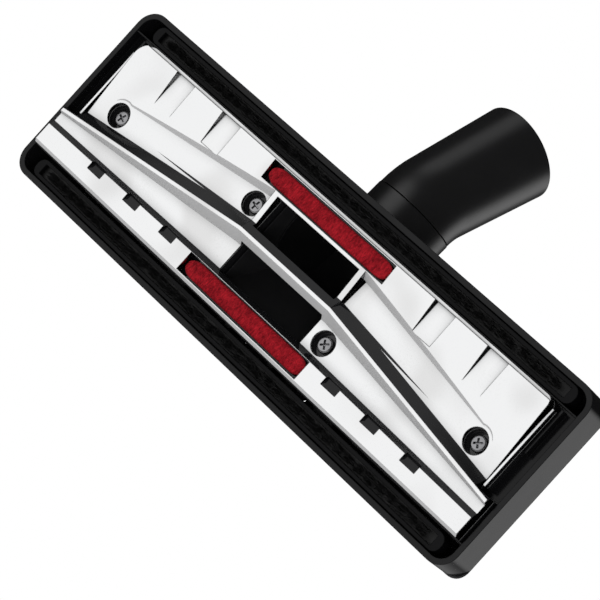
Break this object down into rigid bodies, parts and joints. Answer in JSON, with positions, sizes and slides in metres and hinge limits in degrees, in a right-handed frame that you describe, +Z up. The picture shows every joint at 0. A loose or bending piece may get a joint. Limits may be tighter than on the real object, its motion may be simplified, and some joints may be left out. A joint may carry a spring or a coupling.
{
  "type": "vacuum brush",
  "caption": "Combination floor head for a vacuum cleaner: chromed sole with red lint strips, lowering brushes, foot rocker and a tilting, swivelling bent neck.",
  "frame": {"origin": "on the floor under the middle of the sole, on the flat crest between the two suction openings", "axes": "+X along the head, +Y to the rear where the neck leaves, +Z up from the floor through the sole"},
  "size_m": [0.28, 0.1588, 0.095],
  "materials": {
    "casing_black": "glossy black injection-moulded plastic",
    "cover_black": "glossy black injection-moulded plastic",
    "chromed_sole": "bright chromed sole",
    "red_velour": "short red pile with slanted fibres",
    "screw_steel": "zinc-plated steel",
    "neck_black": "black plastic with a soft sheen",
    "cap_grey": "matt dark grey plastic",
    "spring_steel": "spring steel",
    "elbow_black": "glossy black plastic",
    "ring_white": "natural acetal",
    "bar_black": "glossy black plastic",
    "pedal_grey": "dark grey plastic with a soft sheen",
    "pin_steel": "bright drawn steel",
    "inner_black": "matt black plastic",
    "seal_rubber": "soft black foam rubber",
    "back_black": "black plastic",
    "bristle_black": "black nylon bristle"
  },
  "bodies": {
    "head": {"base_frame": "casing_black", "top_cover": "cover_black", "sole_plate": "chromed_sole", "lint_strip_rear": "red_velour", "lint_strip_front": "red_velour", "sole_screws": "screw_steel", "air_duct": "inner_black", "duct_seal": "seal_rubber", "retainer_left": "cap_grey", "retainer_right": "cap_grey", "retainer_screws": "screw_steel", "detent_springs": "spring_steel", "pedal_pin": "pin_steel"},
    "neck": {"neck_drum": "neck_black", "swivel_ring": "ring_white"},
    "elbow": {"elbow_tube": "elbow_black"},
    "brush": {"brush_carrier": "bar_black", "brush_back_front": "back_black", "brush_back_rear": "back_black", "bristles_front": "bristle_black", "bristles_rear": "bristle_black"},
    "pedal": {"pedal": "pedal_grey"}
  },
  "joints": [
    {"name": "neck_tilt", "type": "hinge", "parent": "head", "child": "neck", "pos_m": [0, 0.018, 0.0444], "axis": [1, 0, 0], "range_deg": [0, 60]},
    {"name": "elbow_swivel", "type": "hinge", "parent": "neck", "child": "elbow", "pos_m": [0, 0.018, 0.0444], "axis": [0, 0.9952, 0.0976], "continuous": true},
    {"name": "pedal_rock", "type": "hinge", "parent": "head", "child": "pedal", "pos_m": [0, -0.021, 0.03], "axis": [1, 0, 0], "range_deg": [0, 35]},
    {"name": "brush_drop", "type": "slide", "parent": "head", "child": "brush", "axis": [0, 0, -1], "range_m": [0, 0.0082]}
  ],
  "couplings": [
    {"joint": "brush_drop", "follows": "pedal_rock", "m_per_rad": 0.01227}
  ]
}
